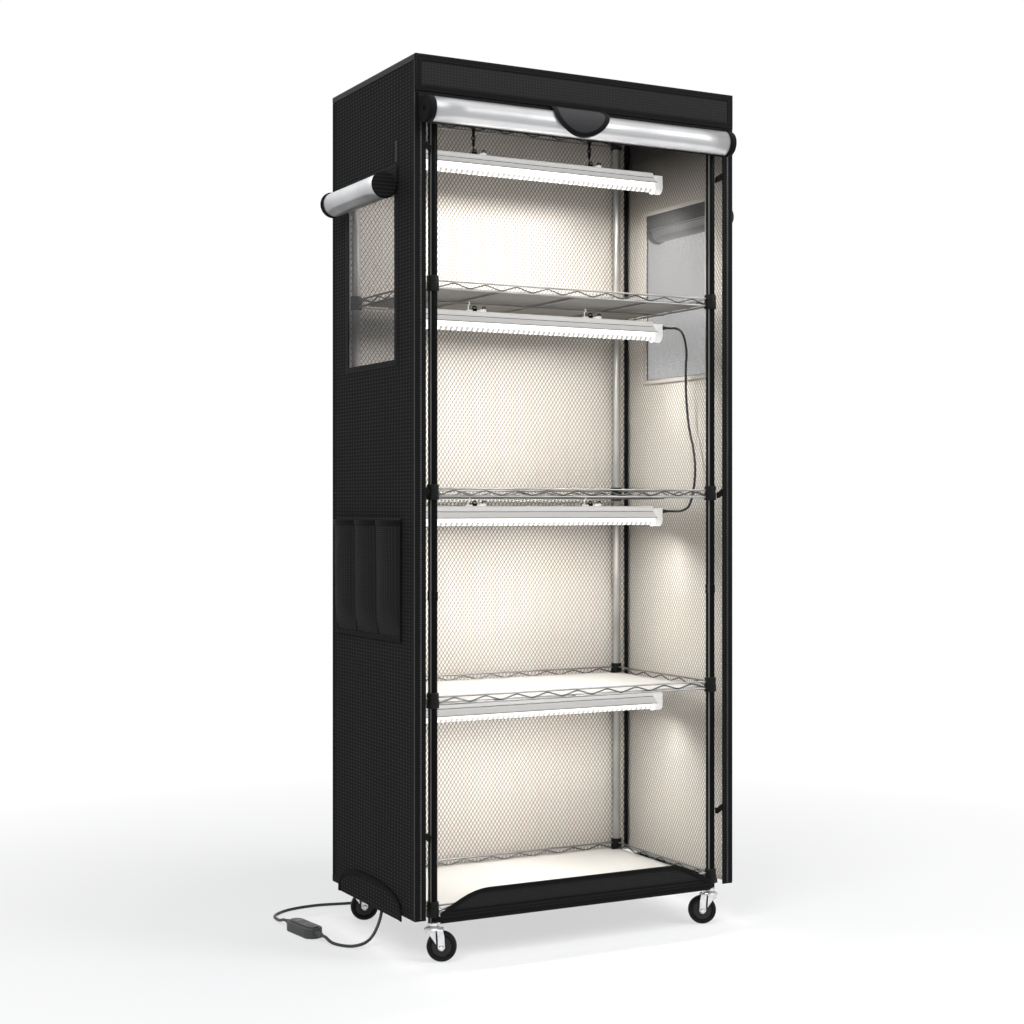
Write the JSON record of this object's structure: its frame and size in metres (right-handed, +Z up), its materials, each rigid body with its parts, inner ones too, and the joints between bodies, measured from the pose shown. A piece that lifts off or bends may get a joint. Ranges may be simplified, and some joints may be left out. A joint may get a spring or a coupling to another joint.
{
  "type": "mini greenhouse with grow lights",
  "caption": "Tall mini greenhouse: a wire-shelf rack on swivel casters inside a zipped cover with reflective lining, rolled-up door and window covers, and a strip grow light over each tier.",
  "frame": {"origin": "on the floor, under the middle of the object's box without its cords", "axes": "+X to the right along the front, +Y from the open front to the back, +Z up"},
  "size_m": [0.7939, 0.5247, 1.5161],
  "materials": {
    "black_steel": "black powder coat, semi-gloss",
    "shelf_wire": "plated wire, dark satin grey",
    "liner_sheet": "thin white translucent sheet",
    "caster_chrome": "bright plated steel",
    "wheel_rubber": "matt black",
    "light_housing": "white, satin",
    "light_tube": "frosted clear tube",
    "hanger_wire": "bright bent wire",
    "cover_fabric": "black coated oxford weave, matt",
    "window_net": "black open net",
    "reflective_lining": "aluminised lining with an embossed diamond pattern",
    "cord_rubber": "black, smooth",
    "plug_plastic": "black moulded",
    "case_plastic": "dark moulded, fine texture",
    "power_button": "dark red centre"
  },
  "bodies": {
    "root": {"pole_front_left": "black_steel", "pole_front_right": "black_steel", "pole_rear_left": "black_steel", "pole_rear_right": "black_steel", "shelf_1": "shelf_wire", "shelf_2": "shelf_wire", "shelf_3": "shelf_wire", "shelf_4": "shelf_wire", "shelf_top": "shelf_wire", "liner_1": "liner_sheet", "liner_2": "liner_sheet", "liner_3": "liner_sheet", "liner_4": "liner_sheet", "caster_stem_front_left": "caster_chrome", "caster_stem_front_right": "caster_chrome", "caster_stem_rear_left": "caster_chrome", "caster_stem_rear_right": "caster_chrome", "light_1_housing": "light_housing", "light_2_housing": "light_housing", "light_3_housing": "light_housing", "light_1_tube": "light_tube", "light_2_tube": "light_tube", "light_3_tube": "light_tube", "side_panel_left": "cover_fabric", "side_panel_right": "cover_fabric", "back_panel": "cover_fabric", "roof_panel": "cover_fabric", "header_band": "cover_fabric", "front_sill": "cover_fabric", "tool_pocket": "cover_fabric", "window_net_left": "window_net", "window_net_right": "window_net", "door_roll": "reflective_lining", "window_roll_left": "reflective_lining", "window_roll_right": "reflective_lining", "link_cord": "cord_rubber", "mains_lead_in": "cord_rubber", "mains_lead_out": "cord_rubber", "mains_lead_coil": "cord_rubber", "link_plug_upper": "plug_plastic", "link_plug_lower": "plug_plastic", "lead_elbow": "plug_plastic", "mains_plug": "plug_plastic", "controller_case": "case_plastic"},
    "fork_front_left": {"caster_fork_front_left": "caster_chrome"},
    "wheel_front_left": {"caster_wheel_front_left": "wheel_rubber"},
    "fork_front_right": {"caster_fork_front_right": "caster_chrome"},
    "wheel_front_right": {"caster_wheel_front_right": "wheel_rubber"},
    "fork_rear_left": {"caster_fork_rear_left": "caster_chrome"},
    "wheel_rear_left": {"caster_wheel_rear_left": "wheel_rubber"},
    "fork_rear_right": {"caster_fork_rear_right": "caster_chrome"},
    "wheel_rear_right": {"caster_wheel_rear_right": "wheel_rubber"},
    "top_light": {"light_4_housing": "light_housing", "light_4_tube": "light_tube", "light_4_hanger_left": "hanger_wire", "light_4_hanger_right": "hanger_wire"},
    "badge": {"badge_flap": "cover_fabric"},
    "time_button": {"time_button": "case_plastic"},
    "power_button": {"power_button": "power_button"}
  },
  "joints": [
    {"name": "swivel_front_left", "type": "hinge", "parent": "root", "child": "fork_front_left", "pos_m": [-0.281, -0.14145, 0.0577], "axis": [0, 0, 1], "continuous": true},
    {"name": "roll_front_left", "type": "hinge", "parent": "fork_front_left", "child": "wheel_front_left", "pos_m": [-0.26776, -0.14849, 0.02511], "axis": [0.4695, 0.8829, 0], "continuous": true},
    {"name": "swivel_front_right", "type": "hinge", "parent": "root", "child": "fork_front_right", "pos_m": [0.281, -0.14145, 0.0577], "axis": [0, 0, 1], "continuous": true},
    {"name": "roll_front_right", "type": "hinge", "parent": "fork_front_right", "child": "wheel_front_right", "pos_m": [0.26776, -0.13441, 0.02511], "axis": [-0.4695, -0.8829, 0], "continuous": true},
    {"name": "swivel_rear_left", "type": "hinge", "parent": "root", "child": "fork_rear_left", "pos_m": [-0.281, 0.18705, 0.0577], "axis": [0, 0, 1], "continuous": true},
    {"name": "roll_rear_left", "type": "hinge", "parent": "fork_rear_left", "child": "wheel_rear_left", "pos_m": [-0.26691, 0.18192, 0.02511], "axis": [0.342, 0.9397, 0], "continuous": true},
    {"name": "swivel_rear_right", "type": "hinge", "parent": "root", "child": "fork_rear_right", "pos_m": [0.281, 0.18705, 0.0577], "axis": [0, 0, 1], "continuous": true},
    {"name": "roll_rear_right", "type": "hinge", "parent": "fork_rear_right", "child": "wheel_rear_right", "pos_m": [0.26691, 0.19218, 0.02511], "axis": [-0.342, -0.9397, 0], "continuous": true},
    {"name": "top_light_swing", "type": "hinge", "parent": "root", "child": "top_light", "pos_m": [0, 0.01405, 1.4774], "axis": [1, 0, 0], "range_deg": [-25, 25]},
    {"name": "badge_lift", "type": "hinge", "parent": "root", "child": "badge", "pos_m": [-0.014, -0.15796, 1.45733], "axis": [-1, 0, 0], "range_deg": [0, 75]},
    {"name": "time_press", "type": "slide", "parent": "root", "child": "time_button", "axis": [0, 0, -1], "range_m": [0, 0.0006], "stiffness_N_per_m": 400, "springref_m": -0.0004},
    {"name": "power_press", "type": "slide", "parent": "root", "child": "power_button", "axis": [0, 0, -1], "range_m": [0, 0.0006], "stiffness_N_per_m": 400, "springref_m": -0.0004}
  ]
}
